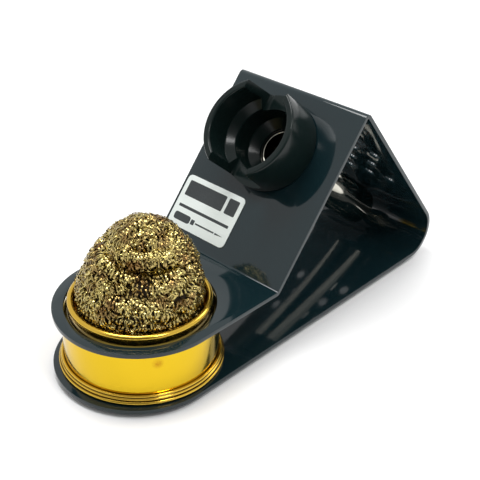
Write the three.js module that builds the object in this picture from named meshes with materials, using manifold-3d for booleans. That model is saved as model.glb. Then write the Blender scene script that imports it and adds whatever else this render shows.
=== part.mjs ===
// A soldering iron stand: one bent steel strip that carries a moulded cup with
// a metal guard tube for the iron, and a gold tin of brass wool for its tip.
//
// Units are millimetres and +Z is up. The origin is on the bench, under the
// middle of the stand. The tin stands at the -Y end and +X is the right-hand
// side, seen from that end.

import * as THREE from 'three';
import { mergeVertices } from 'three/addons/utils/BufferGeometryUtils.js';
import Module from 'manifold-3d';

const wasm = await Module();
wasm.setup();

// ---------------------------------------------------------------- dimensions

const GAP = 0.3; // left between pieces that touch

const strip = {
  width: 80,
  thick: 2,
  backY: 127.35, // where the base and the rear panel would meet
  apexY: 39.45, // where the two panels would meet
  apexZ: 106.5,
  frontBendY: -19.95, // where the shelf and the front panel meet
  shelfZ: 34.1, // top of the shelf
  baseZ: 2.5, // underside of the base
  shelfTipY: -68.85, // centre of the shelf's round end
  baseTipY: -70.35, // centre of the base's round end
  bendRadius: 14.8, // outer radius of the rear bend
  apexRadius: 2.8, // outer radius of the top bend
  shelfRadius: 1.5, // inner radius of the bend behind the shelf
  holeRadius: 34.8,
  cutOver: 6, // how far a cutter reaches past a panel's face
};

const vents = { radius: 3, pitch: 13.3, counts: [5, 4, 5], firstRow: 63.5 };

const tin = {
  y: strip.shelfTipY,
  floor: strip.baseZ + strip.thick + GAP, // underside of its pan
  mouthRadius: 30.1,
  bodyRadius: 36,
  panRadius: 38.6,
  panHeight: 5.2,
  panThick: 0.9,
  ridge: 0.6, // radius of a ridge round the pan
  wall: 0.8,
  neckRadius: 33,
  neckDrop: 2.8, // from the shelf's top to the foot of the neck
  shoulderDrop: 5.2, // and to the top of the straight body
  bead: 1.5,
  beadRise: 2.45,
  shoulderRound: [0.4, 1.4], // from the body's edge to the first point of the round
  insideRound: [1, 1.6],
  neckFillet: 0.8,
};

const cup = {
  along: 62.2, // how far up the front panel its axis stands
  height: 26,
  rimRadius: 24.3,
  footRadius: 23.6,
  neckRadius: 17.6,
  notchFloor: 6, // height of the bottom of its two notches
  notchTop: 11.9, // half width of a notch at the rim
  notchFoot: 9.9, // half width of a notch at its floor
  notchCorner: 2.5,
  rimWall: 3.6,
  edge: 0.6,
  inside: [[20.6, 12], [16.6, 8.3], [16.3, -2.8], [11.2, -6]], // two bores with chamfers
  neckEnd: -6.5,
  spigot: [[13.8, -20], [14.2, -7.5]], // the sleeve that holds the tube
};

const tube = { mouth: -8, end: -97.5, radius: 10.7, wall: 0.8, edge: 0.2 };

const washer = { radius: 22, height: 2.2, edgeHeight: 1, edge: 0.6 };

const label = { width: 39, height: 27, corner: 3, thick: 0.35, gap: 0.15, x: -18.8, along: 19.4 };

const foot = {
  height: 2.2,
  bevel: 0.8,
  frontRadius: 8,
  rearRadius: 6,
  frontY: -99.85,
  rearX: 32.8,
  rearY: 91.2,
};

// ----------------------------------------------------------------- materials

function finish(color, roughness, metalness = 0) {
  return new THREE.MeshStandardMaterial({ color, roughness, metalness });
}

const looks = {
  paint: finish(0x2e3a3d, 0.3),
  bakelite: finish(0x141c1b, 0.2),
  steel: finish(0xb8bcb8, 0.2, 1),
  spring: finish(0x7c8286, 0.4, 1),
  gold: finish(0xdcb32c, 0.25, 1),
  brass: finish(0xb79a4a, 0.45, 1),
  paper: finish(0xe1e8e4, 0.6),
  rubber: finish(0x15171a, 0.8),
};

// ------------------------------------------------------------ shape building

const stand = new THREE.Group();

function add(name, geometry, material) {
  const mesh = new THREE.Mesh(geometry, material);
  mesh.name = name;
  stand.add(mesh);
}

function toSolid(geometry) {
  const bare = geometry.clone();
  bare.deleteAttribute('normal');
  bare.deleteAttribute('uv');
  const merged = mergeVertices(bare, 1e-4);
  return new wasm.Manifold(
    new wasm.Mesh({
      numProp: 3,
      vertProperties: new Float32Array(merged.attributes.position.array),
      triVerts: new Uint32Array(merged.index.array),
    }),
  );
}

function toGeometry(solid) {
  const mesh = solid.getMesh();
  const geometry = new THREE.BufferGeometry();
  geometry.setAttribute('position', new THREE.BufferAttribute(mesh.vertProperties, 3));
  geometry.setIndex(new THREE.BufferAttribute(mesh.triVerts, 1));
  geometry.computeVertexNormals();
  return geometry;
}

// A solid of revolution about Z from [radius, height] points, anticlockwise.
function lathe(points, segments) {
  const outline = points.map(([r, z]) => new THREE.Vector2(r, z));
  return new THREE.LatheGeometry(outline, segments).rotateX(Math.PI / 2);
}

// A ring's outline is closed on itself, and a solid's starts and ends on the axis.
function ring(points, segments) {
  return lathe([...points, points[0]], segments);
}

function disc(radius, low, high, segments) {
  return lathe([[0, low], [radius, low], [radius, high], [0, high]], segments);
}

// Points of an arc in a [a, b] outline, angles in degrees.
function arc([a, b], radius, from, to, steps) {
  return Array.from({ length: steps + 1 }, (_, i) => {
    const angle = THREE.MathUtils.degToRad(from + ((to - from) * i) / steps);
    return [a + radius * Math.cos(angle), b + radius * Math.sin(angle)];
  });
}

function block(x, y, z, centre) {
  return new THREE.BoxGeometry(x, y, z).translate(...centre);
}

// ---------------------------------------------------------- the bent strip

const frontSlope = Math.atan2(strip.apexZ - strip.shelfZ, strip.apexY - strip.frontBendY);
const rearSlope = Math.atan2(strip.apexZ - strip.baseZ, strip.backY - strip.apexY);

// A rounded corner of the strip's outer face, as [y, z] points. The turn goes
// from one heading to the other; side is +1 when the centre lies to the left.
function bend([y, z], fromHeading, toHeading, radius, side, steps) {
  const half = (toHeading - fromHeading) / 2;
  const reach = radius * Math.abs(Math.tan(half));
  const startY = y - reach * Math.cos(fromHeading);
  const startZ = z - reach * Math.sin(fromHeading);
  const centreY = startY - side * radius * Math.sin(fromHeading);
  const centreZ = startZ + side * radius * Math.cos(fromHeading);
  const first = THREE.MathUtils.radToDeg(fromHeading) - side * 90;
  const last = THREE.MathUtils.radToDeg(toHeading) - side * 90;
  return arc([centreY, centreZ], radius, first, last, steps);
}

// One face of the strip, inset from its outer face, from the shelf's tip over
// the top to the base's tip.
function stripFace(inset) {
  const { width, backY, apexY, apexZ, frontBendY, shelfZ, baseZ } = strip;
  const tip = width / 2;
  const shift = (corner, a, b) => {
    const half = (b - a) / 2;
    const along = (a + b) / 2;
    const reach = inset / Math.cos(half);
    return [corner[0] + reach * Math.sin(along), corner[1] - reach * Math.cos(along)];
  };
  const down = -rearSlope;
  const home = -Math.PI;
  const shelf = shift([frontBendY, shelfZ], 0, frontSlope);
  const apex = shift([apexY, apexZ], frontSlope, down);
  const back = shift([backY, baseZ], down, home);
  return [
    [strip.shelfTipY - tip, shelfZ - inset],
    ...bend(shelf, 0, frontSlope, strip.shelfRadius + inset, 1, 5),
    ...bend(apex, frontSlope, down, strip.apexRadius - inset, -1, 6),
    ...bend(back, down, home, strip.bendRadius - inset, -1, 16),
    [strip.baseTipY - tip, baseZ + inset],
  ];
}

// What is cut off the end of the strip to leave a half circle round tipY.
function endWaste(tipY, low, high) {
  const half = strip.width / 2;
  const margin = 2;
  const middle = [0, tipY - (half + margin) / 2, (low + high) / 2];
  const whole = block(strip.width + 2 * margin, half + margin, high - low, middle);
  const tongue = disc(half, low - margin, high + margin, 72).translate(0, tipY, 0);
  return toSolid(whole).subtract(toSolid(tongue));
}

// Places a geometry made about Z on a panel: Z becomes the panel's outward
// normal and Y runs up its slope.
const onFront = (geometry, x, along) =>
  geometry
    .translate(x, along, 0)
    .rotateX(frontSlope)
    .translate(0, strip.frontBendY, strip.shelfZ);

const onRear = (geometry, x, along) =>
  geometry
    .translate(x, along, 0)
    .rotateX(-rearSlope)
    .translate(0, strip.backY, strip.baseZ);

function bentStrip() {
  const outline = [...stripFace(0), ...stripFace(strip.thick).reverse()];
  const shape = new THREE.Shape(outline.map(([y, z]) => new THREE.Vector2(y, z)));
  const bar = new THREE.ExtrudeGeometry(shape, { depth: strip.width, bevelEnabled: false, curveSegments: 1 });
  // the outline's y, z and the extrusion become Y, Z and X
  bar.applyMatrix4(new THREE.Matrix4().makeBasis(
    new THREE.Vector3(0, 1, 0),
    new THREE.Vector3(0, 0, 1),
    new THREE.Vector3(1, 0, 0),
  ));
  bar.translate(-strip.width / 2, 0, 0);
  const over = strip.cutOver;
  const { shelfZ, baseZ, shelfTipY, baseTipY } = strip;
  const tinHole = disc(strip.holeRadius, shelfZ - over, shelfZ + over, 72);
  const cupHole = disc(cup.neckRadius + GAP, -over, over, 48);
  let solid = toSolid(bar)
    .subtract(endWaste(shelfTipY, shelfZ - over, shelfZ + over))
    .subtract(endWaste(baseTipY, baseZ - over, baseZ + over))
    .subtract(toSolid(tinHole.translate(0, tin.y, 0)))
    .subtract(toSolid(onFront(cupHole, 0, cup.along)));
  vents.counts.forEach((count, row) => {
    for (let i = 0; i < count; i += 1) {
      const x = (i - (count - 1) / 2) * vents.pitch;
      const along = vents.firstRow + row * vents.pitch;
      solid = solid.subtract(toSolid(onRear(disc(vents.radius, -over, over, 16), x, -along)));
    }
  });
  return toGeometry(solid);
}

add('bent_frame', bentStrip(), looks.paint);

// -------------------------------------------------- the iron's cup and guard

// Both notches are one tapered bar across the cup, up and down the slope.
function notchBar() {
  const { height, notchTop, notchFoot, notchFloor, notchCorner: corner, rimRadius } = cup;
  const lean = (notchTop - notchFoot) / (height - notchFloor);
  const margin = 4;
  const over = height + margin;
  const top = notchTop + lean * margin;
  const shape = new THREE.Shape();
  shape.moveTo(-top, over);
  shape.lineTo(-notchFoot, notchFloor + corner);
  shape.quadraticCurveTo(-notchFoot, notchFloor, -notchFoot + corner, notchFloor);
  shape.lineTo(notchFoot - corner, notchFloor);
  shape.quadraticCurveTo(notchFoot, notchFloor, notchFoot, notchFloor + corner);
  shape.lineTo(top, over);
  const length = 2 * (rimRadius + margin);
  const bar = new THREE.ExtrudeGeometry(shape, { depth: length, bevelEnabled: false, curveSegments: 4 });
  return bar.translate(0, 0, -length / 2).rotateX(Math.PI / 2);
}

function holderCup() {
  const { height, rimRadius, rimWall, edge, footRadius, neckRadius, neckEnd, spigot, inside } = cup;
  const bore = tube.radius + GAP;
  const bowl = ring([
    [bore, spigot[0][1]],
    ...spigot,
    [neckRadius, neckEnd],
    [neckRadius, GAP],
    [footRadius - edge, GAP],
    [footRadius, GAP + edge],
    [rimRadius, height - edge],
    [rimRadius - edge, height],
    [rimRadius - rimWall + edge, height],
    [rimRadius - rimWall, height - edge],
    ...inside,
    [bore, tube.mouth + 2 * GAP],
  ], 60);
  return toGeometry(toSolid(bowl).subtract(toSolid(notchBar())));
}

add('holder_cup', onFront(holderCup(), 0, cup.along), looks.bakelite);

// A spring washer pushed on to the cup's neck behind the panel.
function springWasher() {
  const { radius, height, edgeHeight, edge } = washer;
  const inner = cup.neckRadius + GAP;
  const top = -strip.thick - GAP;
  return ring([
    [inner, top - height],
    [radius - edge, top - height],
    [radius, top - edgeHeight],
    [radius, top],
    [inner, top],
  ], 48);
}

add('cup_spring_washer', onFront(springWasher(), 0, cup.along), looks.spring);

// A straight tube round the iron's hot end, open at both ends.
function guardTube() {
  const { mouth, end, radius, wall, edge } = tube;
  const inner = radius - wall;
  return ring([
    [inner, end + edge],
    [inner + edge, end],
    [radius - edge, end],
    [radius, end + edge],
    [radius, mouth - edge],
    [radius - edge, mouth],
    [inner + edge, mouth],
    [inner, mouth - edge],
  ], 44);
}

add('guard_tube', onFront(guardTube(), 0, cup.along), looks.steel);

// ---------------------------------------------------------------- the label

function labelPlate() {
  const { width, height, corner, thick } = label;
  const w = width / 2 - corner;
  const h = height / 2 - corner;
  const shape = new THREE.Shape();
  shape.absarc(w, h, corner, 0, Math.PI / 2);
  shape.absarc(-w, h, corner, Math.PI / 2, Math.PI);
  shape.absarc(-w, -h, corner, Math.PI, 1.5 * Math.PI);
  shape.absarc(w, -h, corner, 1.5 * Math.PI, 2 * Math.PI);
  return new THREE.ExtrudeGeometry(shape, { depth: thick, bevelEnabled: false, curveSegments: 6 });
}

add('label', onFront(labelPlate().translate(0, 0, label.gap), label.x, label.along), looks.paper);

// ------------------------------------------------------------- the gold tin

// The pan closes the bottom of the tin and has three rolled ridges, each set in
// from the one below.
function tinPan() {
  const { floor, panRadius, panHeight, panThick, bodyRadius, ridge } = tin;
  const inner = bodyRadius + GAP;
  const firstHeight = 1;
  const pitch = 1.5;
  const ridges = [0, 1, 2].flatMap((i) => {
    const centre = [panRadius - ridge * (i + 1), floor + firstHeight + i * pitch];
    return arc(centre, ridge, -60, 60, 2);
  });
  return lathe([
    [0, floor],
    [panRadius - 2 * ridge, floor],
    ...ridges,
    [inner, floor + panHeight],
    [inner, floor + panThick],
    [0, floor + panThick],
  ], 60);
}

add('tin_pan', tinPan().translate(0, tin.y, 0), looks.gold);

// The drum is a thin wall. Its shoulder stays under the shelf, and its neck stands
// up through the shelf's hole to a rolled bead.
function tinDrum() {
  const { floor, panThick, bodyRadius, mouthRadius, wall, neckRadius, bead } = tin;
  const low = floor + panThick + GAP;
  const top = strip.shelfZ;
  const neckFoot = top - tin.neckDrop;
  const bodyTop = top - tin.shoulderDrop;
  const inner = neckRadius - wall;
  const under = top + tin.beadRise - bead; // the bead's underside
  const [start, reach] = tin.shoulderRound;
  const [insideIn, insideUp] = tin.insideRound;
  const fillet = tin.neckFillet;
  return ring([
    [bodyRadius - wall, low],
    [bodyRadius, low],
    [bodyRadius, bodyTop],
    [bodyRadius - start, bodyTop + reach],
    [bodyRadius - reach, neckFoot - start],
    [neckRadius + fillet, neckFoot],
    [neckRadius, neckFoot + fillet],
    [neckRadius, under + 0.2],
    ...arc([mouthRadius + bead, top + tin.beadRise], bead, -30, 210, 8),
    [inner, under],
    [inner, neckFoot - start],
    [bodyRadius - wall - insideIn, bodyTop + insideUp],
    [bodyRadius - wall, bodyTop + insideUp - insideIn],
  ], 64);
}

add('tin_drum', tinDrum().translate(0, tin.y, 0), looks.gold);

// The sponge is a ball of coiled brass ribbon: a round column below the tin's
// mouth and a heap above it, which leans a little and has the lay of the coil
// winding round it.
const sponge = {
  radius: 29.7,
  low: tin.floor + tin.panThick + GAP,
  footBevel: 4,
  collar: strip.shelfZ + 4.4, // where the heap starts, just above the tin's bead
  columnTop: strip.shelfZ + 3.2,
  heapRadius: 30.6,
  heap: 39.4,
  taper: 1.2,
  lean: [2.4, 2.1],
  lobes: 14,
  lobeSwell: 0.018,
  twist: 9, // how far the lobes wind round by the top, in radians
  rings: 4,
  ringSwell: 0.03,
};

function spongeBall() {
  const { radius, low, footBevel, columnTop, collar, heapRadius, heap, taper, lean } = sponge;
  const rows = 14;
  const profile = [[0, low], [radius - footBevel, low], [radius, low + footBevel], [radius, columnTop]];
  for (let i = 0; i < rows; i += 1) {
    const climb = (i / rows) * (Math.PI / 2);
    profile.push([heapRadius * Math.cos(climb) ** taper, collar + heap * Math.sin(climb)]);
  }
  profile.push([0, collar + heap]);
  const geometry = lathe(profile, 48);
  const spot = geometry.attributes.position;
  for (let i = 0; i < spot.count; i += 1) {
    const [x, y, z] = [spot.getX(i), spot.getY(i), spot.getZ(i)];
    const up = THREE.MathUtils.clamp((z - collar) / heap, 0, 1);
    const lay = sponge.lobeSwell * Math.cos(sponge.lobes * Math.atan2(y, x) + sponge.twist * up);
    const crease = sponge.ringSwell * (Math.abs(Math.sin(sponge.rings * Math.PI * up)) - 0.5);
    const fade = Math.min(1, 6 * up) * (1 - up); // none at the mouth and none at the top
    const swell = 1 + fade * (lay + crease);
    spot.setXYZ(i, x * swell + lean[0] * up, y * swell + lean[1] * up, z);
  }
  return toGeometry(toSolid(geometry));
}

add('brass_sponge', spongeBall().translate(0, tin.y, 0), looks.brass);

// ----------------------------------------------------------------- the feet

function rubberFoot(radius) {
  return lathe([
    [0, 0],
    [radius - foot.bevel, 0],
    [radius - foot.bevel / 4, foot.bevel / 2],
    [radius, foot.height],
    [0, foot.height],
  ], 32);
}

add('foot_front', rubberFoot(foot.frontRadius).translate(0, foot.frontY, 0), looks.rubber);
for (const [side, sign] of [['left', -1], ['right', 1]]) {
  const pad = rubberFoot(foot.rearRadius).translate(sign * foot.rearX, foot.rearY, 0);
  add(`foot_rear_${side}`, pad, looks.rubber);
}

export default stand;
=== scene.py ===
"""Looks for a soldering iron stand: a bent steel strip, a moulded cup with a
guard tube, and a gold tin of brass wool. Metres, in the frame of the CAD."""

import math
import random

import bmesh
import bpy
from mathutils import Matrix, Vector, noise


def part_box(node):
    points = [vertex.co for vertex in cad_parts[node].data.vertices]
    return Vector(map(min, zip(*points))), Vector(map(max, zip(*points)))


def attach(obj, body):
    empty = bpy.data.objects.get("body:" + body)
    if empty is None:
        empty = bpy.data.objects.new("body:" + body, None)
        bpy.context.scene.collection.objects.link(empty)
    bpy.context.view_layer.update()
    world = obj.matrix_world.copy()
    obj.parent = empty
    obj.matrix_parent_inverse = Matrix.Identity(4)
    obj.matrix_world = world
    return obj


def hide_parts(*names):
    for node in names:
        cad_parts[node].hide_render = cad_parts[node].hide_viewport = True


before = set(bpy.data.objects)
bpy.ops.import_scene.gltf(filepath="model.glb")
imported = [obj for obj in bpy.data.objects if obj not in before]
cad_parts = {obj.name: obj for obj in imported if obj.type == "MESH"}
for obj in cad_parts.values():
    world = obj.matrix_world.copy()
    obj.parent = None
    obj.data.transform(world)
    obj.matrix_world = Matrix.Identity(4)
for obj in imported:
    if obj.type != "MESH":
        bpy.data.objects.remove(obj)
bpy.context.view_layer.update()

MM = 0.001


# ---------------------------------------------------------------- dimensions
# Places come from the frame. What a box can't say is named here, in metres.

STRIP_LOW, STRIP_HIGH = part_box("bent_frame")
DRUM_LOW, DRUM_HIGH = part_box("tin_drum")
PAN_LOW, PAN_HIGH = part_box("tin_pan")
SPONGE_LOW, SPONGE_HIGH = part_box("brass_sponge")

WIDTH = STRIP_HIGH.x - STRIP_LOW.x
SHEET = 2 * MM
BASE_Z = STRIP_LOW.z
TIN_Y = (DRUM_LOW.y + DRUM_HIGH.y) / 2
BODY_RADIUS = DRUM_HIGH.x
PAN_RADIUS = PAN_HIGH.x
SHELF_Z = DRUM_HIGH.z - 3.95 * MM  # the drum's bead stands this far above the shelf
HOLE_RADIUS = 34.8 * MM
GAP = 0.3 * MM

FRONT_BEND_Y = -19.95 * MM  # where the shelf and the front panel would meet
APEX_Y, APEX_Z = 39.45 * MM, 106.5 * MM  # where the two panels would meet
BACK_Y = 127.35 * MM  # where the rear panel and the base would meet
BEND_RADIUS = 14.8 * MM
APEX_RADIUS = 2.8 * MM
SHELF_RADIUS = 1.5 * MM
FRONT_SLOPE = math.atan2(APEX_Z - SHELF_Z, APEX_Y - FRONT_BEND_Y)
REAR_SLOPE = math.atan2(APEX_Z - BASE_Z, BACK_Y - APEX_Y)

CUP_ALONG = 62.2 * MM  # the cup's axis, up the front panel from the shelf bend
CUP_HEIGHT = 26 * MM
RIM_RADIUS, FOOT_RADIUS, NECK_RADIUS = 24.3 * MM, 23.6 * MM, 17.6 * MM
NOTCH_TOP, NOTCH_FOOT = 11.9 * MM, 9.9 * MM  # half the notch's width, at the rim and its floor
NOTCH_FLOOR = 6 * MM
VENT_RADIUS, VENT_PITCH = 3 * MM, 13.3 * MM
VENT_FIRST = 63.5 * MM  # the lowest row, up the rear panel from where it meets the base
VENT_ROWS = (5, 4, 5)

ON_FRONT = Matrix.Translation((0, FRONT_BEND_Y, SHELF_Z)) @ Matrix.Rotation(FRONT_SLOPE, 4, "X")
ON_REAR = Matrix.Translation((0, BACK_Y, BASE_Z)) @ Matrix.Rotation(-REAR_SLOPE, 4, "X")
ON_CUP = ON_FRONT @ Matrix.Translation((0, CUP_ALONG, 0))
ON_TIN = Matrix.Translation((0, TIN_Y, 0))


# ------------------------------------------------------------------ materials

MIX_COLORS, MIX_RESULT = (6, 7), 2  # numbers of the Mix node's sockets for colours


class Shader:
    """A Principled material, with short calls for the nodes in front of it. The plain
    colour and roughness hold only where no node drives them."""

    def __init__(self, name, color, roughness, metallic=0.0, **sockets):
        self.material = bpy.data.materials.new(name)
        self.material.use_nodes = True
        self.nodes = self.material.node_tree.nodes
        self.links = self.material.node_tree.links
        self.bsdf = self.nodes["Principled BSDF"]
        self.bsdf.inputs["Base Color"].default_value = (*color, 1)
        self.bsdf.inputs["Roughness"].default_value = roughness
        self.bsdf.inputs["Metallic"].default_value = metallic
        for socket, value in sockets.items():
            self.bsdf.inputs[socket.replace("_", " ")].default_value = value
        self.place = self.nodes.new("ShaderNodeTexCoord").outputs["Object"]

    def node(self, kind, inputs=(), **settings):
        """A new node. Its inputs are values or sockets, by name or by number."""
        node = self.nodes.new(kind)
        for key, value in settings.items():
            setattr(node, key, value)
        for socket, value in dict(inputs).items():
            if isinstance(value, bpy.types.NodeSocket):
                self.links.new(value, node.inputs[socket])
            else:
                node.inputs[socket].default_value = value
        return node

    def stretched(self, scale):
        """The object's own coordinates, scaled along each axis."""
        return self.node("ShaderNodeMapping", {"Vector": self.place, "Scale": scale}).outputs[0]

    def noise(self, scale, detail, vector=None):
        inputs = {"Vector": vector or self.place, "Scale": scale, "Detail": detail}
        return self.node("ShaderNodeTexNoise", inputs).outputs["Fac"]

    def band(self, value, low, high, out_low, out_high):
        """Maps a value from one range to another, held at both ends."""
        inputs = {
            "Value": value,
            "From Min": low,
            "From Max": high,
            "To Min": out_low,
            "To Max": out_high,
        }
        return self.node("ShaderNodeMapRange", inputs).outputs[0]

    def blend(self, factor, first, second):
        """A colour between two, each a colour or a socket."""
        colors = [c if isinstance(c, bpy.types.NodeSocket) else (*c, 1) for c in (first, second)]
        mix = self.node("ShaderNodeMix", data_type="RGBA")
        self.links.new(factor, mix.inputs["Factor"])
        for slot, color in zip(MIX_COLORS, colors):
            if isinstance(color, bpy.types.NodeSocket):
                self.links.new(color, mix.inputs[slot])
            else:
                mix.inputs[slot].default_value = color
        return mix.outputs[MIX_RESULT]

    def maths(self, operation, first, second=0.0):
        inputs = {0: first, 1: second}
        return self.node("ShaderNodeMath", inputs, operation=operation).outputs[0]

    def drive(self, socket, value):
        """Links a value to one of the material's own sockets."""
        self.links.new(value, self.bsdf.inputs[socket])

    def bump(self, height, strength, distance):
        """Adds relief, on top of any that is there already."""
        inputs = {"Height": height, "Strength": strength, "Distance": distance}
        if self.bsdf.inputs["Normal"].links:
            inputs["Normal"] = self.bsdf.inputs["Normal"].links[0].from_socket
        self.drive("Normal", self.node("ShaderNodeBump", inputs).outputs[0])


def enamel_paint():
    """Stove enamel on sheet steel: glossy, with a cloudy tone and a faint orange peel."""
    look = Shader("enamel_paint", (0.005, 0.016, 0.019), 0.08)
    cloud = look.noise(30, 3)
    look.drive("Base Color", look.blend(cloud, (0.0035, 0.0135, 0.0165), (0.007, 0.018, 0.022)))
    look.drive("Roughness", look.band(look.noise(180, 4), 0.3, 0.7, 0.05, 0.1))
    look.bump(look.noise(150, 1), 0.006, 0.0001)
    return look.material


def cup_moulding():
    """Dark phenolic moulding, glossy, with flow lines and faint sink marks."""
    look = Shader("cup_moulding", (0.004, 0.0095, 0.0088), 0.22, Specular_IOR_Level=0.24)
    flow = look.noise(40, 4, look.stretched((1, 1, 3)))
    look.drive("Base Color", look.blend(flow, (0.0032, 0.008, 0.0075), (0.0052, 0.011, 0.0102)))
    look.drive("Roughness", look.band(look.noise(160, 4), 0.3, 0.7, 0.14, 0.24))
    look.bump(look.noise(90, 1), 0.02, 0.0003)
    return look.material


def polished_tube():
    """Nickel-plated steel, polished, with a cloudy tone and a faint waviness."""
    look = Shader("polished_tube", (0.62, 0.6, 0.52), 0.07, 1.0)
    look.drive("Base Color", look.blend(look.noise(60, 4), (0.52, 0.5, 0.42), (0.66, 0.64, 0.57)))
    look.drive("Roughness", look.band(look.noise(240, 4), 0.35, 0.65, 0.04, 0.11))
    look.bump(look.noise(160, 2), 0.02, 0.0001)
    return look.material


def spring_steel():
    """Blued spring steel, with a rougher grain than the tube."""
    look = Shader("spring_steel", (0.3, 0.32, 0.36), 0.35, 1.0)
    look.drive("Base Color", look.blend(look.noise(90, 4), (0.2, 0.22, 0.27), (0.42, 0.42, 0.42)))
    look.drive("Roughness", look.band(look.noise(400, 5), 0.3, 0.7, 0.28, 0.45))
    look.bump(look.noise(1500, 2), 0.08, 0.0001)
    return look.material


PAN_GROOVES = (1.95 * MM, 3.35 * MM)  # heights above the tin's foot, where painted shade lines run in the grooves
STAIN_TURN, STAIN_Z = -0.53, 25.5 * MM  # on the tin's side, its turn in radians from +X
STAIN_HEART, STAIN_RADIUS = 0.4 * MM, 3 * MM  # full up to the first, gone at the second
STAIN = (
    BODY_RADIUS * math.cos(STAIN_TURN),
    TIN_Y + BODY_RADIUS * math.sin(STAIN_TURN),
    STAIN_Z,
)


def gold_anodised():
    """Spun aluminium, gold anodised: fine rings from the lathe, a yellower body and one stain,
    with painted shade on the neck under the shelf and painted shade as dark lines between the
    ridges of the pan."""
    look = Shader("gold_anodised", (0.85, 0.56, 0.04), 0.14, 1.0)
    cloud = look.noise(25, 3)
    body = look.blend(cloud, (0.66, 0.42, 0.012), (0.72, 0.49, 0.024))
    rolled = look.blend(cloud, (0.64, 0.4, 0.045), (0.72, 0.47, 0.07))
    height = look.node("ShaderNodeSeparateXYZ", {0: look.place}).outputs["Z"]
    low = look.band(height, PAN_HIGH.z - 0.5 * MM, PAN_HIGH.z + 0.5 * MM, 0.0, 1.0)
    high = look.band(height, SHELF_Z - 3 * MM, SHELF_Z, 1.0, 0.0)
    tone = look.blend(look.maths("MULTIPLY", low, high), rolled, body)
    spot = look.node("ShaderNodeVectorMath", {0: look.place, 1: STAIN}, operation="DISTANCE")
    near = look.band(spot.outputs["Value"], STAIN_HEART, STAIN_RADIUS, 1.0, 0.0)
    patchy = look.maths("MULTIPLY", near, look.noise(900, 4))
    tone = look.blend(patchy, tone, (0.35, 0.1, 0.01))
    # Painted shade: the neck goes dark olive where it stands in the shadowed gap under the shelf's
    # hole.
    over = look.band(height, SHELF_Z - 0.2 * MM, SHELF_Z + 1.4 * MM, 0.88, 0.0)
    under = look.band(height, SHELF_Z - 3.6 * MM, SHELF_Z - 3 * MM, 0.0, 1.0)
    tone = look.blend(look.maths("MULTIPLY", over, under), tone, (0.05, 0.04, 0.012))
    # Painted shade: a dark line along each groove between the pan's ridges.
    for groove in PAN_GROOVES:
        away = look.maths("ABSOLUTE", look.maths("SUBTRACT", height, PAN_LOW.z + groove))
        groove_shade = look.band(away, 0.1 * MM, 0.3 * MM, 0.9, 0.0)
        tone = look.blend(groove_shade, tone, (0.06, 0.03, 0.004))
    look.drive("Base Color", tone)
    look.drive("Roughness", look.band(look.noise(260, 4), 0.3, 0.7, 0.1, 0.2))
    look.bump(look.noise(1800, 2, look.stretched((0.02, 0.02, 1))), 0.05, 0.0001)
    return look.material


def brass_ribbon():
    """Shaved brass ribbon: its tone varies along it, and it is tarnished in places."""
    look = Shader("brass_ribbon", (0.55, 0.45, 0.15), 0.22, 1.0)
    tarnish = look.band(look.noise(140, 4), 0.42, 0.66, 0.0, 1.0)
    clean = look.blend(look.noise(600, 2), (0.43, 0.335, 0.072), (0.77, 0.65, 0.29))
    look.drive("Base Color", look.blend(tarnish, clean, (0.24, 0.14, 0.05)))
    look.drive("Roughness", look.band(look.noise(500, 3), 0.3, 0.7, 0.14, 0.32))
    return look.material


def brass_depths():
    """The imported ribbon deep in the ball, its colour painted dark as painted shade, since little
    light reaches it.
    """
    look = Shader("brass_depths", (0.09, 0.06, 0.02), 0.6, 0.6)
    curls = look.noise(420, 6)
    shade = look.band(curls, 0.35, 0.7, 0.0, 1.0)
    look.drive("Base Color", look.blend(shade, (0.01, 0.006, 0.003), (0.06, 0.038, 0.015)))
    look.bump(curls, 0.9, 0.002)
    return look.material


def label_film():
    """White polyester film with a satin face."""
    look = Shader("label_film", (0.74, 0.8, 0.77), 0.35, Coat_Weight=0.15, Coat_Roughness=0.2)
    look.drive("Base Color", look.blend(look.noise(120, 5), (0.72, 0.78, 0.75), (0.78, 0.83, 0.8)))
    look.drive("Roughness", look.band(look.noise(350, 4), 0.3, 0.7, 0.3, 0.42))
    look.bump(look.noise(80, 3), 0.05, 0.0003)
    return look.material


def label_ink():
    """Screen-printed ink, a little thin in places."""
    look = Shader("label_ink", (0.02, 0.026, 0.028), 0.45)
    thin = look.noise(1500, 3)
    look.drive("Base Color", look.blend(thin, (0.014, 0.019, 0.021), (0.035, 0.043, 0.045)))
    look.drive("Roughness", look.band(look.noise(500, 3), 0.3, 0.7, 0.38, 0.55))
    return look.material


def foot_rubber():
    """Moulded rubber with a matt grain."""
    look = Shader("foot_rubber", (0.02, 0.021, 0.023), 0.75)
    bloom = look.noise(200, 5)
    look.drive("Base Color", look.blend(bloom, (0.014, 0.015, 0.016), (0.034, 0.035, 0.037)))
    look.drive("Roughness", look.band(look.noise(500, 4), 0.3, 0.7, 0.65, 0.85))
    look.bump(look.noise(1400, 3), 0.25, 0.0002)
    return look.material


PAINT = enamel_paint()
MOULDING = cup_moulding()
TUBE_METAL = polished_tube()
SPRING = spring_steel()
GOLD = gold_anodised()
RIBBON = brass_ribbon()
DEPTHS = brass_depths()
FILM = label_film()
INK = label_ink()
RUBBER = foot_rubber()


# -------------------------------------------------------------- mesh building


def new_object(name, verts, faces, place=None):
    """A mesh object at the origin, its points moved by place."""
    mesh = bpy.data.meshes.new(name)
    mesh.from_pydata([tuple(v) for v in verts], [], faces)
    if place is not None:
        mesh.transform(place)
    mesh.validate()
    thing = bpy.data.objects.new(name, mesh)
    bpy.context.scene.collection.objects.link(thing)
    return thing


def outward(thing):
    """Turns every face to the outside of a closed mesh."""
    shape = bmesh.new()
    shape.from_mesh(thing.data)
    bmesh.ops.recalc_face_normals(shape, faces=shape.faces)
    shape.to_mesh(thing.data)
    shape.free()
    return thing


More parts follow.
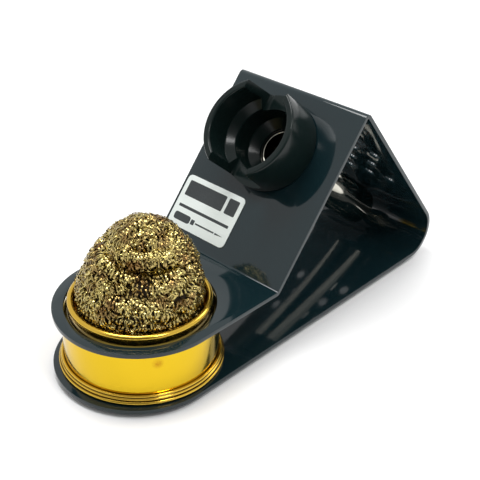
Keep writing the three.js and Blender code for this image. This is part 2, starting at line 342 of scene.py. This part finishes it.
def settle(thing):
    """Applies every modifier to the mesh."""
    bpy.context.view_layer.update()
    graph = bpy.context.evaluated_depsgraph_get()
    done = bpy.data.meshes.new_from_object(thing.evaluated_get(graph))
    thing.modifiers.clear()
    thing.data = done


def smooth(thing, degrees):
    """Smooth shading, kept crisp at edges sharper than the angle."""
    thing.data.shade_smooth()
    thing.data.set_sharp_from_angle(angle=math.radians(degrees))


def present(thing, body, material):
    """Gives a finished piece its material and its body."""
    thing.data.materials.clear()
    thing.data.materials.append(material)
    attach(thing, body)


def arc(centre, radius, start, stop, steps):
    """Points of an arc in a 2-D outline, angles in degrees."""
    angles = [math.radians(start + (stop - start) * i / steps) for i in range(steps + 1)]
    return [(centre[0] + radius * math.cos(a), centre[1] + radius * math.sin(a)) for a in angles]


def rounded(points, radii, steps):
    """A closed outline with its corners rounded: each radius goes with its point."""
    outline = []
    count = len(points)
    for i, (point, radius) in enumerate(zip(points, radii)):
        here = Vector(point)
        back = Vector(points[i - 1]) - here
        ahead = Vector(points[(i + 1) % count]) - here
        if radius <= 0 or back.length == 0 or ahead.length == 0:
            outline.append(tuple(here))
            continue
        opening = back.angle(ahead)
        most = 0.49 * min(back.length, ahead.length)  # so that two corners don't meet
        reach = min(radius / math.tan(opening / 2), most)
        first = here + back.normalized() * reach
        last = here + ahead.normalized() * reach
        for k in range(steps + 1):
            t = k / steps
            outline.append(tuple(first * (1 - t) ** 2 + here * 2 * t * (1 - t) + last * t**2))
    return outline


ON_AXIS = 1e-7  # a point closer to the axis than this is on it


def lathe(name, outline, segments, place):
    """Turns a closed [radius, height] outline about Z. Points on the axis become one."""
    verts, columns = [], []
    for k in range(segments):
        angle = 2 * math.pi * k / segments
        column = []
        for i, (r, z) in enumerate(outline):
            if r < ON_AXIS and k > 0:
                column.append(columns[0][i])
                continue
            column.append(len(verts))
            verts.append((r * math.cos(angle), r * math.sin(angle), z))
        columns.append(column)
    faces = []
    count = len(outline)
    for k in range(segments):
        a, b = columns[k], columns[(k + 1) % segments]
        for i in range(count):
            j = (i + 1) % count
            corners = [a[i], b[i], b[j], a[j]]
            face = list(dict.fromkeys(corners))
            if len(face) >= 3:
                faces.append(face)
    return outward(new_object(name, verts, faces, place))


def prism(name, outline, low, high, place):
    """A closed outline in X and Y, made solid from one height to another."""
    count = len(outline)
    verts = [(x, y, low) for x, y in outline] + [(x, y, high) for x, y in outline]
    faces = [list(range(count))[::-1], list(range(count, 2 * count))]
    faces += [[i, (i + 1) % count, count + (i + 1) % count, count + i] for i in range(count)]
    return outward(new_object(name, verts, faces, place))


def rod(radius, low, high, place, segments):
    """A round cutter."""
    outline = arc((0, 0), radius, 0, 360 * (1 - 1 / segments), segments - 1)
    return prism("cutter", outline, low, high, place)


def cut(thing, cutters):
    """Cuts other solids out of a solid, and removes them."""
    for cutter in cutters:
        tool = thing.modifiers.new("cut", "BOOLEAN")
        tool.operation = "DIFFERENCE"
        tool.solver = "EXACT"
        tool.object = cutter
    settle(thing)
    for cutter in cutters:
        bpy.data.objects.remove(cutter)


def soften_edges(thing, width, degrees, segments=3):
    """Rounds every edge sharper than the angle."""
    bevel = thing.modifiers.new("edges", "BEVEL")
    bevel.width = width
    bevel.segments = segments
    bevel.limit_method = "ANGLE"
    bevel.angle_limit = math.radians(degrees)
    bevel.harden_normals = False
    settle(thing)


# --------------------------------------------------------------- bent strip


def bend(corner, heading, turned, radius, side, steps):
    """A rounded corner of the strip's outline; side is 1 if it turns left."""
    reach = radius * abs(math.tan((turned - heading) / 2))
    start = (corner[0] - reach * math.cos(heading), corner[1] - reach * math.sin(heading))
    centre = (
        start[0] - side * radius * math.sin(heading),
        start[1] + side * radius * math.cos(heading),
    )
    first = math.degrees(heading) - side * 90
    last = math.degrees(turned) - side * 90
    return arc(centre, radius, first, last, steps)


def strip_face(inset):
    """One face of the strip from shelf tip to base tip, as (y, z) points."""

    def moved(corner, heading, turned):
        reach = inset / math.cos((turned - heading) / 2)
        along = (heading + turned) / 2
        return (corner[0] + reach * math.sin(along), corner[1] - reach * math.cos(along))

    down, home = -REAR_SLOPE, -math.pi
    shelf = moved((FRONT_BEND_Y, SHELF_Z), 0, FRONT_SLOPE)
    apex = moved((APEX_Y, APEX_Z), FRONT_SLOPE, down)
    back = moved((BACK_Y, BASE_Z), down, home)
    points = [(TIN_Y - WIDTH / 2, SHELF_Z - inset)]
    points += bend(shelf, 0, FRONT_SLOPE, SHELF_RADIUS + inset, side=1, steps=10)
    points += bend(apex, FRONT_SLOPE, down, APEX_RADIUS - inset, side=-1, steps=14)
    points += bend(back, down, home, BEND_RADIUS - inset, side=-1, steps=40)
    points += [(STRIP_LOW.y, BASE_Z + inset)]
    return points


def tongue_waste(tip_y, low, high):
    """What is cut away beside the strip's end to leave a half circle."""
    half = WIDTH / 2
    over = half + 4 * MM
    outline = [(over, tip_y), (over, tip_y - over), (-over, tip_y - over), (-over, tip_y)]
    outline += arc((0, tip_y), half, 180, 360, 96)
    return prism("cutter", outline, low, high, Matrix.Identity(4))


def bent_strip():
    """The whole stand of one strip, with its round ends, its holes and its vents."""
    outline = strip_face(0) + strip_face(SHEET)[::-1]
    lay_down = Matrix(((0, 0, 1, 0), (1, 0, 0, 0), (0, 1, 0, 0), (0, 0, 0, 1)))
    strip = prism("strip", outline, -WIDTH / 2, WIDTH / 2, lay_down)
    under, over = 6 * MM, 4 * MM
    base_tip_y = STRIP_LOW.y + WIDTH / 2
    cutters = [
        tongue_waste(TIN_Y, SHELF_Z - under, SHELF_Z + over),
        tongue_waste(base_tip_y, BASE_Z - over, BASE_Z + under),
        rod(HOLE_RADIUS, SHELF_Z - under, SHELF_Z + over, ON_TIN, segments=128),
        rod(NECK_RADIUS + GAP, -under, over, ON_CUP, segments=96),
    ]
    for row, count in enumerate(VENT_ROWS):
        for i in range(count):
            x = (i - (count - 1) / 2) * VENT_PITCH
            spot = Matrix.Translation((x, -VENT_FIRST - row * VENT_PITCH, 0))
            cutters.append(rod(VENT_RADIUS, -under, under, ON_REAR @ spot, segments=32))
    cut(strip, cutters)
    soften_edges(strip, width=0.35 * MM, degrees=50)
    smooth(strip, degrees=40)
    present(strip, "stand", PAINT)
    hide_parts("bent_frame")


# --------------------------------------------------------- the cup and guard


def holder_cup():
    """A moulded cup with a wide bore over a narrower one, and a notch through its wall
    on the uphill and the downhill side."""
    bore, sleeve_end, wall = 11 * MM, -20 * MM, 3.6 * MM
    points = [
        (bore, sleeve_end),  # a sleeve, which the tube sits in
        (13.8 * MM, sleeve_end),
        (14.2 * MM, -7.5 * MM),
        (NECK_RADIUS, -6.5 * MM),  # the neck, through the panel's hole
        (NECK_RADIUS, GAP),
        (FOOT_RADIUS, GAP),  # the outside
        (RIM_RADIUS, CUP_HEIGHT),
        (RIM_RADIUS - wall, CUP_HEIGHT),  # the wide bore and its chamfer
        (20.6 * MM, 12 * MM),
        (16.6 * MM, 8.3 * MM),  # the narrower bore and its chamfer
        (16 * MM, -2.2 * MM),
        (bore + 0.2 * MM, -6.3 * MM),
        (bore, -7.4 * MM),
    ]
    radii = [0.3, 0.4, 0.6, 0.3, 0.2, 0.7, 1.2, 1.2, 1.6, 1.6, 1.6, 0.8, 0]
    outline = rounded(points, [r * MM for r in radii], 6)
    cup = lathe("cup", outline, 144, ON_CUP)

    lean = (NOTCH_TOP - NOTCH_FOOT) / (CUP_HEIGHT - NOTCH_FLOOR)
    past, aside, corner = 4 * MM, 5 * MM, 2.5 * MM
    over = CUP_HEIGHT + past
    top = NOTCH_TOP + lean * past
    corners = [(-top, over), (-NOTCH_FOOT, NOTCH_FLOOR), (NOTCH_FOOT, NOTCH_FLOOR), (top, over)]
    notch = rounded(corners, [0, corner, corner, 0], 8)
    length = RIM_RADIUS + aside
    stand_up = Matrix.Rotation(math.pi / 2, 4, "X")
    cut(cup, [prism("cutter", notch, -length, length, ON_CUP @ stand_up)])
    soften_edges(cup, width=0.4 * MM, degrees=42)
    smooth(cup, degrees=40)
    present(cup, "stand", MOULDING)
    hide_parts("holder_cup")


def guard_tube():
    """A straight polished tube with its edges rolled over a little."""
    radius, wall = 10.7 * MM, 0.8 * MM
    mouth, end, edge = -8 * MM, -97.5 * MM, 0.3 * MM
    inner = radius - wall
    outline = rounded([(inner, end), (radius, end), (radius, mouth), (inner, mouth)], [edge] * 4, 4)
    tube = lathe("tube", outline, 128, ON_CUP)
    smooth(tube, degrees=50)
    present(tube, "stand", TUBE_METAL)
    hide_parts("guard_tube")


def spring_washer():
    """A push-on washer: a ring with teeth bent up inside it."""
    top = -SHEET - GAP
    inner, outer = NECK_RADIUS + GAP, 22 * MM
    thickness, edge = 0.9 * MM, 0.15 * MM
    ring = [
        (inner, top - 2.2 * MM),
        (outer - 1.4 * MM, top - thickness),
        (outer, top - thickness),
        (outer, top),
        (outer - 1.7 * MM, top),
        (inner, top - 1.3 * MM),
    ]
    washer = lathe("washer", rounded(ring, [edge] * 6, 3), 120, ON_CUP)
    teeth, half = 10, 0.5 * MM  # half the width of the slot between two teeth
    under, over = 4 * MM, 1 * MM
    near, far = inner - 2 * MM, outer - 1.8 * MM
    slot = [(near, -half), (far, -half), (far, half), (near, half)]
    slots = []
    for k in range(teeth):
        turn = Matrix.Rotation(2 * math.pi * k / teeth, 4, "Z")
        slots.append(prism("cutter", slot, top - under, top + over, ON_CUP @ turn))
    cut(washer, slots)
    smooth(washer, degrees=35)
    present(washer, "stand", SPRING)
    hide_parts("cup_spring_washer")


# ------------------------------------------------------------------ the label

LABEL_W, LABEL_H, LABEL_T = 39 * MM, 27 * MM, 0.3 * MM
LABEL_PLACE = (-18.8 * MM, 19.4 * MM, 0.15 * MM)  # its middle, across, up and off the panel
INK_FOOT, INK_TOP = 0.005 * MM, 0.03 * MM
ON_LABEL = ON_FRONT @ Matrix.Translation(LABEL_PLACE)


def box_outline(x, y, w, h, radius, steps=5):
    """A rectangle with round corners, from its lower left corner."""
    corners = [(x, y), (x + w, y), (x + w, y + h), (x, y + h)]
    return rounded(corners, [radius] * 4, steps)


def label():
    """A plate of film with round corners."""
    outline = box_outline(-LABEL_W / 2, -LABEL_H / 2, LABEL_W, LABEL_H, 3 * MM, 10)
    film = prism("label_plate", outline, 0, LABEL_T, ON_LABEL)
    soften_edges(film, width=0.08 * MM, degrees=50, segments=2)
    smooth(film, degrees=35)
    present(film, "stand", FILM)
    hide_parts("label")


def print_on_label(name, outline):
    """A patch of ink, as a thin piece just off the film."""
    ink = prism(name, outline, LABEL_T + INK_FOOT, LABEL_T + INK_TOP, ON_LABEL)
    present(ink, "stand", INK)


def label_print():
    """Plain bars, and a little picture of a soldering iron: handle, collar, barrel, tip."""
    bars = [  # left, foot, width, height and corner radius, in mm
        (-17, 2.6, 25.5, 8.2, 0.8),
        (10.3, 2.6, 6.7, 8.2, 0.8),
        (-17, -3.6, 34, 1.5, 0.3),
        (-17, -10.4, 11, 4, 1.6),
        (-5.4, -9.7, 2.4, 2.6, 0.3),
        (-2.4, -8.8, 13, 0.8, 0.3),
    ]
    for k, bar in enumerate(bars):
        print_on_label(f"label_bar_{k}", box_outline(*[v * MM for v in bar]))
    tip = [(11.2, -8.9), (16.6, -8.4), (11.2, -7.9)]
    print_on_label("label_tip", [(x * MM, y * MM) for x, y in tip])


bent_strip()
holder_cup()
guard_tube()
spring_washer()
label()
label_print()


# -------------------------------------------------------------------- the tin

# Ridges round the pan, each as: inset from its edge, height and radius in mm, and the
# angles from and to which its round goes, in degrees.
PAN_RIDGES = (
    (0.9, 1, 0.9, -70, 75),
    (1.4, 2.6, 0.6, -75, 75),
    (1.8, 4.1, 0.6, -75, 110),
)


def tin_pan():
    """The tin's floor, with a ridged wall that the drum stands in."""
    floor, thickness = PAN_LOW.z, 0.9 * MM
    inner = BODY_RADIUS + GAP
    outline = [(0, floor), (PAN_RADIUS - 1.4 * MM, floor)]
    for inset, height, radius, start, stop in PAN_RIDGES:
        centre = (PAN_RADIUS - inset * MM, floor + height * MM)
        outline += arc(centre, radius * MM, start, stop, 8)
    outline += [(inner, floor + 4.6 * MM), (inner, floor + 1.4 * MM)]
    outline += [(inner - 0.5 * MM, floor + thickness), (0, floor + thickness)]
    pan = lathe("pan", outline, 180, ON_TIN)
    smooth(pan, degrees=40)
    present(pan, "tin", GOLD)
    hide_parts("tin_pan")


def tin_drum():
    """The tin's side: a body, a shoulder, a neck through the shelf and a rolled bead."""
    wall, bead = 0.8 * MM, 1.5 * MM
    neck, mouth = 33 * MM, 30.1 * MM
    shoulder = SHELF_Z - 2.8 * MM
    points = [
        (neck - wall, shoulder - 0.4 * MM),
        (BODY_RADIUS - wall - 0.4 * MM, shoulder - 1.2 * MM),
        (BODY_RADIUS - wall, SHELF_Z - 5 * MM),
        (BODY_RADIUS - wall, DRUM_LOW.z),
        (BODY_RADIUS, DRUM_LOW.z),
        (BODY_RADIUS, SHELF_Z - 4.8 * MM),
        (BODY_RADIUS - 0.8 * MM, shoulder - 0.4 * MM),
        (neck, shoulder),
        (neck, SHELF_Z + 1.3 * MM),
    ]
    radii = [0.4, 1.0, 0.8, 0.2, 0.2, 1.6, 1.2, 0.8, 0]
    outline = rounded(points, [r * MM for r in radii], 6)
    outline += arc((mouth + bead, SHELF_Z + 2.45 * MM), bead, -20, 220, 28)
    outline += [(neck - wall, SHELF_Z + 0.9 * MM)]
    drum = lathe("drum", outline, 192, ON_TIN)
    smooth(drum, degrees=40)
    present(drum, "tin", GOLD)
    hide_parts("tin_drum")


tin_pan()
tin_drum()


# ----------------------------------------------------------------- the sponge

# The heap over the tin's bead, and the column of the ball inside the tin. A place up
# the heap is 0 at its foot and 1 at its top; below 0 it is down the column.
HEAP_LOW = SHELF_Z + 4.4 * MM
HEAP_HEIGHT = SPONGE_HIGH.z - HEAP_LOW
HEAP_RADIUS = 29.6 * MM
HEAP_TAPER = 1.2  # 1 is a round dome, and more is a more pointed one
HEAP_LEAN = Vector((2.4 * MM, 2.1 * MM, 0))  # how far its top is off the tin's axis
HEAP_MIDDLE = Vector((0, TIN_Y, HEAP_LOW))
HEAP_FOOT, HEAP_TOP = -0.06, 0.97  # the range of the heap's ribbon
FACE = math.radians(-48)  # the side of the heap with its deepest folds
COLUMN_DEPTH = HEAP_LOW - SPONGE_LOW.z - 0.2 * MM
COLUMN_ROUND = 6 * MM  # the radius of its lower edge
COLUMN_PATH = COLUMN_DEPTH + COLUMN_ROUND * (math.pi / 2 - 2) + HEAP_RADIUS - 4 * MM
COLUMN_FOOT = -COLUMN_PATH / (HEAP_HEIGHT * math.pi / 2)  # 4 mm from the axis, underneath
COLUMN_TOP = -0.02  # where the column's ribbon begins
HEAP_LUMP, COLUMN_LUMP = 0.9, 1.2  # how deep the lumps of each are, in mm
LUMPS = 2.6  # how often the ball's surface swells and sinks round it

RIBBON_WIDTH, RIBBON_THICKNESS = 0.6 * MM, 0.06 * MM
CURL_RISE = Vector((0, 0, 8 * MM))  # ribbon faces away from this far under the middle
STRANDS = 96  # in each layer
HEAP_LAYERS, HEAP_SEED = 6, 40
COLUMN_LAYERS, COLUMN_SEED = 5, 60


def bell(distance, width):
    """1 at no distance, about a third at the width, and nearly 0 at twice the width."""
    return math.exp(-((distance / width) ** 2))


# Shallow folds that go all round, each as: height up the heap, and waves round it.
RINGS = ((0.46, 2), (0.24, 3))
RING_DEPTH, RING_WIDTH, RING_WAVE = 1.6, 0.04, 0.03  # in mm, then up the heap

# Folds of the sleeve, each as: turn from the face in radians, height up the heap,
# half width in radians, half height, and depth in mm (a swelling if negative).
FOLDS = (
    (0.1, 0.465, 0.95, 0.045, 6),
    (0.1, 0.545, 0.9, 0.04, -2),
    (-0.5, 0.335, 0.3, 0.04, 4.5),
    (0.3, 0.37, 0.6, 0.03, 1.8),
    (-0.05, 0.61, 0.22, 0.03, 4.0),
    (0.3, 0.72, 0.3, 0.06, -1.4),
    (-0.97, 0.55, 0.25, 0.04, 3.0),
    (0.79, 0.04, 0.12, 0.06, 5.0),
)
FOLD_SLANT = 0.04  # how far a fold falls for each radian round


def fold_depth(around, up):
    """How far the sleeve's folds draw the heap's surface in, in metres."""
    depth = 0.0
    for level, waves in RINGS:
        aside = up - level - RING_WAVE * math.sin(waves * around)
        depth += RING_DEPTH * bell(aside, RING_WIDTH)
    turn = math.atan2(math.sin(around - FACE), math.cos(around - FACE))
    for place, level, wide, high, deep in FOLDS:
        aside = turn - place
        depth += deep * bell(aside, wide) * bell(up - level + FOLD_SLANT * aside, high)
    place = Vector((math.cos(around), math.sin(around), 1.6 * up)) * LUMPS
    return (depth + HEAP_LUMP * noise.noise(place)) * MM


def column_point(around, down, sink):
    """A point under the ball's surface in the tin: down its side, then in under it."""
    side = COLUMN_DEPTH - COLUMN_ROUND
    turned = min(max((down - side) / COLUMN_ROUND, 0), math.pi / 2)
    across = max(down - side - COLUMN_ROUND * math.pi / 2, 0)
    place = Vector((math.cos(around), math.sin(around), down / HEAP_RADIUS)) * LUMPS
    reach = COLUMN_ROUND - sink - abs(noise.noise(place)) * COLUMN_LUMP * MM
    radius = HEAP_RADIUS - COLUMN_ROUND + reach * math.cos(turned) - across
    height = -min(down, side) - reach * math.sin(turned)
    return HEAP_MIDDLE + Vector((radius * math.cos(around), radius * math.sin(around), height))


def heap_point(around, up, sink):
    """A point under the ball's surface, sunk into it, up the heap or down the column."""
    climb = up * math.pi / 2
    if up < 0:
        return column_point(around, -climb * HEAP_HEIGHT, sink)
    radius = HEAP_RADIUS * math.cos(climb) ** HEAP_TAPER
    height = HEAP_HEIGHT * math.sin(climb)
    out = Vector((radius * math.cos(around), radius * math.sin(around), height))
    fade = min(1, 4 * (1 - up))  # the folds fade out near the top
    out -= out.normalized() * (sink + fold_depth(around, up) * fade)
    return HEAP_MIDDLE + HEAP_LEAN * math.sin(climb) + out


def sponge_core():
    """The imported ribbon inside, which shows only as dark gaps."""
    verts, faces = [], []
    turns, rows = 96, 72
    sink, grain, roughness = 3 * MM, 0.5 * MM, 400
    for i in range(rows + 1):
        up = COLUMN_FOOT + (HEAP_TOP - COLUMN_FOOT) * i / rows
        for k in range(turns):
            point = heap_point(2 * math.pi * k / turns, up, sink)
            out = (point - HEAP_MIDDLE).normalized()
            verts.append(point + out * grain * noise.noise(point * roughness))
    for i in range(rows):
        for k in range(turns):
            n = (k + 1) % turns
            faces.append([i * turns + k, i * turns + n, (i + 1) * turns + n, (i + 1) * turns + k])
    faces.append(list(range(turns))[::-1])
    faces.append(list(range(rows * turns, (rows + 1) * turns)))
    core = outward(new_object("sponge_core", verts, faces))
    smooth(core, degrees=180)
    present(core, "sponge", DEPTHS)
    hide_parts("brass_sponge")


def wander(rng, around, up, heading, length, sink, lowest=HEAP_FOOT, highest=HEAP_TOP):
    """A path of 1 mm steps under the ball's surface. It turns as it goes, and turns back
    at the lowest and the highest place that it may reach."""
    path = []
    seed = rng.uniform(0, 100)
    sway = rng.uniform(0.5, 1.3)
    nudge, quickness, tightest = 0.01, 0.13, 3 * MM
    for i in range(int(length / MM)):
        here = heap_point(around, up, sink)
        path.append(here)
        turn = heading + sway * noise.noise(Vector((i * quickness, seed, 0)))
        along = (heap_point(around + nudge, up, sink) - here).length / nudge
        rise = (heap_point(around, up + nudge, sink) - here).length / nudge
        around += MM * math.cos(turn) / max(along, tightest)
        up += MM * math.sin(turn) / rise
        if not lowest < up < highest:
            heading = -heading
            up = min(max(up, lowest), highest)
    return path


def curl(rng, path, radius, pitch, per_turn):
    """A ribbon wound round a path as a loose helix, uneven in its turning, size, pitch
    and lean, each by noise at a pace of its own."""
    turning, sizing, slipping, leaning = 1.7, 0.5, 1.1, 0.5
    seed = rng.uniform(0, 100)
    phase = rng.uniform(0, 2 * math.pi)
    steps = int((len(path) - 1) * MM / pitch * per_turn)
    strand = []
    for i in range(steps + 1):
        t = i / steps * (len(path) - 1)
        k = min(int(t), len(path) - 2)
        here = path[k].lerp(path[k + 1], t - k)
        tangent = (path[k + 1] - path[k]).normalized()
        away = (here - HEAP_MIDDLE + CURL_RISE).normalized()
        side = tangent.cross(away).normalized()
        away = side.cross(tangent)
        place = Vector((i * 0.06, seed, 0))
        angle = phase + 2 * math.pi * i / per_turn + turning * noise.noise(place)
        size = radius * (1 + sizing * noise.noise(place * 1.7))
        out = away * math.cos(angle) + side * math.sin(angle)
        slip = tangent * pitch * slipping * noise.noise(place * 3.1)
        lean = (tangent + away * leaning * noise.noise(place * 2.3)).normalized()
        strand.append((here + out * size + slip, lean, out))
    return strand


def ribbons(name, strands):
    """Closed flat ribbons along lists of (point, across, outward)."""
    verts, faces = [], []
    for strand in strands:
        first = len(verts)
        for point, across, out in strand:
            side = across * RIBBON_WIDTH / 2
            deep = out * RIBBON_THICKNESS / 2
            verts += [point - side - deep, point + side - deep]
            verts += [point + side + deep, point - side + deep]
        last = len(verts) - 4
        for a in range(first, last, 4):
            for k in range(4):
                n = (k + 1) % 4
                faces.append([a + k, a + n, a + 4 + n, a + 4 + k])
        faces.append([first + 3, first + 2, first + 1, first])
        faces.append([last, last + 1, last + 2, last + 3])
    piece = new_object(name, verts, faces)
    smooth(piece, degrees=60)
    present(piece, "sponge", RIBBON)


def sponge_heap():
    """Layers of curled ribbon, most of it lying round the heap as it was coiled, and
    in each layer three tight rolls that make the cap's rim over its deepest fold."""
    sinks, lengths, radii, pitches = (1.7, 3.8), (11, 24), (1.5, 2.6), (1.5, 2.5)  # in mm
    slants = (0, 0, 0, 0, 0.9, -0.9)
    rolls, roll_turn, roll_length = 3, 0.6, 14 * MM
    for layer in range(HEAP_LAYERS):
        rng = random.Random(HEAP_SEED + layer)
        strands = []
        for step in range(STRANDS):
            around = 2 * math.pi * (step + rng.uniform(0, 1)) / STRANDS
            # Steps near the golden ratio spread the strands evenly over the height.
            level = (0.62 * step + rng.uniform(0, 0.3)) % 1.04 - 0.05
            up = math.asin(level) / (math.pi / 2)
            heading = rng.gauss(0, 0.45) + rng.choice(slants)
            sink = rng.uniform(*sinks) * MM
            path = wander(rng, around, up, heading, rng.uniform(*lengths) * MM, sink)
            radius = min(rng.uniform(*radii) * MM, sink - 0.2 * MM)
            strands.append(curl(rng, path, radius, rng.uniform(*pitches) * MM, per_turn=10))
        for roll in range(rolls):
            around = FACE - 0.9 + roll_turn * roll
            up = 0.51 + 0.012 * layer
            path = wander(rng, around, up, 0.0, roll_length, sink=0.9 * MM)
            strands.append(curl(rng, path, radius=0.9 * MM, pitch=1.4 * MM, per_turn=9))
        ribbons(f"sponge_curls_{layer}", strands)


def sponge_in_tin():
    """The same ribbon down the ball's side and under it, pressed in by the tin."""
    sinks, lengths, radii, pitches = (2.1, 3.6), (12, 26), (1.2, 2.1), (1.2, 2.0)  # in mm
    for layer in range(COLUMN_LAYERS):
        rng = random.Random(COLUMN_SEED + layer)
        strands = []
        for step in range(STRANDS):
            around = 2 * math.pi * (step + rng.uniform(0, 1)) / STRANDS
            up = COLUMN_FOOT * ((0.618 * step + rng.uniform(0, 0.3)) % 1) ** 1.4
            sink = rng.uniform(*sinks) * MM
            length = rng.uniform(*lengths) * MM
            heading = rng.gauss(0, 0.6)
            path = wander(rng, around, up, heading, length, sink, COLUMN_FOOT, COLUMN_TOP)
            radius = min(rng.uniform(*radii) * MM, (sink - 0.5 * MM) / 1.3)
            strands.append(curl(rng, path, radius, rng.uniform(*pitches) * MM, per_turn=9))
        ribbons(f"sponge_foot_curls_{layer}", strands)


sponge_core()
sponge_heap()
sponge_in_tin()


# ------------------------------------------------------------------- the feet


def rubber_foot(node):
    """A round pad, narrower at its sole."""
    low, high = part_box(node)
    centre = (low + high) / 2
    radius = (high.x - low.x) / 2
    height = high.z - low.z
    points = [(0, 0), (radius - 0.6 * MM, 0), (radius, height), (0, height)]
    outline = rounded(points, [0, 0.4 * MM, 0.2 * MM, 0], 4)
    foot = lathe(node + "_pad", outline, 64, Matrix.Translation((centre.x, centre.y, low.z)))
    smooth(foot, degrees=40)
    present(foot, "stand", RUBBER)
    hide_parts(node)


for foot_node in ("foot_front", "foot_rear_left", "foot_rear_right"):
    rubber_foot(foot_node)


# --------------------------------------------------------- floor, lights, view


def studio_floor():
    """A plain white sheet under the stand."""
    half = 3  # half its side, in metres
    corners = [(-half, -half, 0), (half, -half, 0), (half, half, 0), (-half, half, 0)]
    floor = new_object("floor", corners, [[0, 1, 2, 3]])
    look = Shader("floor", (0.9, 0.9, 0.9), 0.6)
    look.drive("Roughness", look.band(look.noise(3, 2), 0.3, 0.7, 0.55, 0.65))
    floor.data.materials.append(look.material)


def softbox(name, place, target, size, power):
    """A rectangular lamp of a size in metres and a power in watts."""
    lamp = bpy.data.lights.new(name, "AREA")
    lamp.shape = "RECTANGLE"
    lamp.size, lamp.size_y = size
    lamp.energy = power
    thing = bpy.data.objects.new(name, lamp)
    thing.location = place
    thing.rotation_euler = (Vector(target) - Vector(place)).to_track_quat("-Z", "Y").to_euler()
    bpy.context.scene.collection.objects.link(thing)


DARK_SIDE = (0.56, -0.8, 0.21)  # the unlit end of the studio, behind the camera
FADE_START, FADE_END = 0.6, 0.92  # about the cosine of the angle from its middle
SKY, DARK = 0.88, 0.1  # the background's strength away from it and in it


def lighting():
    """A white studio with one dark end, and three softboxes."""
    world = bpy.data.worlds.new("studio")
    world.use_nodes = True
    background = world.node_tree.nodes["Background"]
    background.inputs["Color"].default_value = (1, 1, 1, 1)
    nodes, links = world.node_tree.nodes, world.node_tree.links
    direction = nodes.new("ShaderNodeTexCoord").outputs["Generated"]
    toward = nodes.new("ShaderNodeVectorMath")
    toward.operation = "DOT_PRODUCT"
    toward.inputs[1].default_value = DARK_SIDE
    links.new(direction, toward.inputs[0])
    fade = nodes.new("ShaderNodeMapRange")
    fade.inputs["From Min"].default_value = FADE_START
    fade.inputs["From Max"].default_value = FADE_END
    fade.inputs["To Min"].default_value = SKY
    fade.inputs["To Max"].default_value = DARK
    links.new(toward.outputs["Value"], fade.inputs["Value"])
    links.new(fade.outputs[0], background.inputs["Strength"])
    scene = bpy.context.scene
    scene.world = world
    scene.view_settings.view_transform = "Standard"
    softbox("top", (-0.15, -0.1, 0.9), (0, -0.02, 0.03), size=(0.4, 0.4), power=4.5)
    softbox("side", (0.4, -0.09, 0.7), (0, 0, 0.08), size=(0.16, 0.12), power=1.2)
    softbox("back", (0.15, 0.75, 0.65), (0, 0.03, 0.05), size=(0.4, 0.3), power=2)


AZIMUTH, ELEVATION, ROLL = math.radians(42.16), math.radians(31.21), math.radians(1.64)
CAMERA_REACH = 444.55 * MM
CAMERA_RIGHT, CAMERA_UP = 45.91 * MM, 54.45 * MM
LENS, SENSOR = 70.75, 36  # in mm, as on a real camera


def camera():
    """Looks from the front right, along a line that passes right of and above the foot
    of the tin's axis."""
    back = Vector(
        (
            math.sin(AZIMUTH) * math.cos(ELEVATION),
            -math.cos(AZIMUTH) * math.cos(ELEVATION),
            math.sin(ELEVATION),
        )
    )
    level = Vector((math.cos(AZIMUTH), math.sin(AZIMUTH), 0))
    rise = back.cross(level)
    right = level * math.cos(ROLL) + rise * math.sin(ROLL)
    up = rise * math.cos(ROLL) - level * math.sin(ROLL)
    target = Vector((0, TIN_Y, BASE_Z))
    place = target + back * CAMERA_REACH + right * CAMERA_RIGHT + up * CAMERA_UP
    turn = Matrix((right, up, back)).transposed().to_4x4()
    lens = bpy.data.cameras.new("camera")
    lens.lens = LENS
    lens.sensor_width = SENSOR
    lens.clip_start = 0.01
    thing = bpy.data.objects.new("camera", lens)
    thing.matrix_world = Matrix.Translation(place) @ turn
    bpy.context.scene.collection.objects.link(thing)
    bpy.context.scene.camera = thing


studio_floor()
lighting()
camera()
